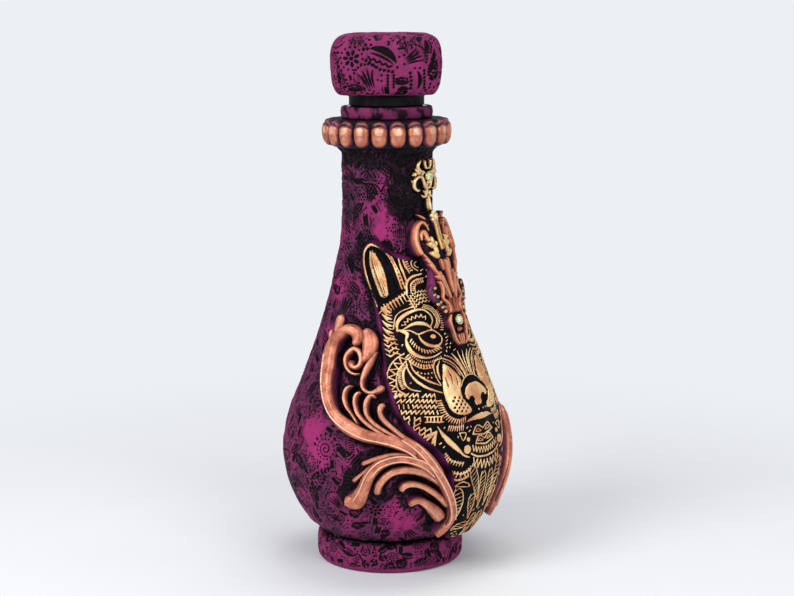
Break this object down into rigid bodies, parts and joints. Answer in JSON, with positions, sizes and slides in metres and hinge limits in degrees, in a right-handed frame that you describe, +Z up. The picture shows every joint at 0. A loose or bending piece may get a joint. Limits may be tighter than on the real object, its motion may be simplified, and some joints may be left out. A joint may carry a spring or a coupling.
{
  "type": "genie bottle",
  "caption": "Tall pear-shaped decanter with a lift-out stopper, clad in engraved painted clay with a cast wolf mask, acanthus scrolls, a crest and a beaded collar.",
  "frame": {"origin": "centre of the foot's flat underside, on the bottle's axis", "axes": "+Z up along the bottle's axis, the wolf looks along -Y, +X to the right when looking along +Y"},
  "size_m": [0.1288, 0.1263, 0.29],
  "materials": {
    "clear_glass": "clear blown glass, polished",
    "magenta_clay": "engraved modelling clay, matte magenta over black in the recesses",
    "black_clay": "matte black painted clay",
    "copper_clay": "cast clay rubbed with copper paint, satin",
    "gold_clay": "cast clay painted black, its raised lines rubbed with gold",
    "gilt_metal": "stamped metal with dull gold paint",
    "stone": "faceted glass stone with an iridescent coat",
    "wood_core": "turned beech, bare",
    "cap_plastic": "moulded plastic",
    "seal_rubber": "moulded ribbed rubber"
  },
  "bodies": {
    "bottle": {"glass_bottle": "clear_glass", "body_cover": "magenta_clay", "foot_cover": "magenta_clay", "lip_cover": "magenta_clay", "collar_ring": "black_clay", "collar_beads": "copper_clay", "wolf_casting": "gold_clay", "scroll_left": "copper_clay", "scroll_right": "copper_clay", "scroll_buds": "copper_clay", "crest_plate": "magenta_clay", "crest_leaves": "copper_clay", "crest_bar": "gold_clay", "crest_flower": "copper_clay", "crest_setting": "gilt_metal", "crest_gem": "stone", "crest_drop": "copper_clay", "neck_charm": "gilt_metal", "charm_setting": "gilt_metal", "charm_gem": "stone", "charm_link": "gilt_metal"},
    "seal": {"seal_sleeve": "seal_rubber"},
    "stopper": {"stopper_block": "wood_core", "stopper_cover": "magenta_clay", "stopper_base": "black_clay", "stopper_shank": "wood_core", "shank_cap": "cap_plastic"}
  },
  "joints": [
    {"name": "stopper_lift", "type": "slide", "parent": "bottle", "child": "seal", "axis": [0, 0, 1], "range_m": [0, 0.034]},
    {"name": "stopper_turn", "type": "hinge", "parent": "seal", "child": "stopper", "pos_m": [0, 0, 0.238], "axis": [0, 0, 1], "continuous": true}
  ]
}
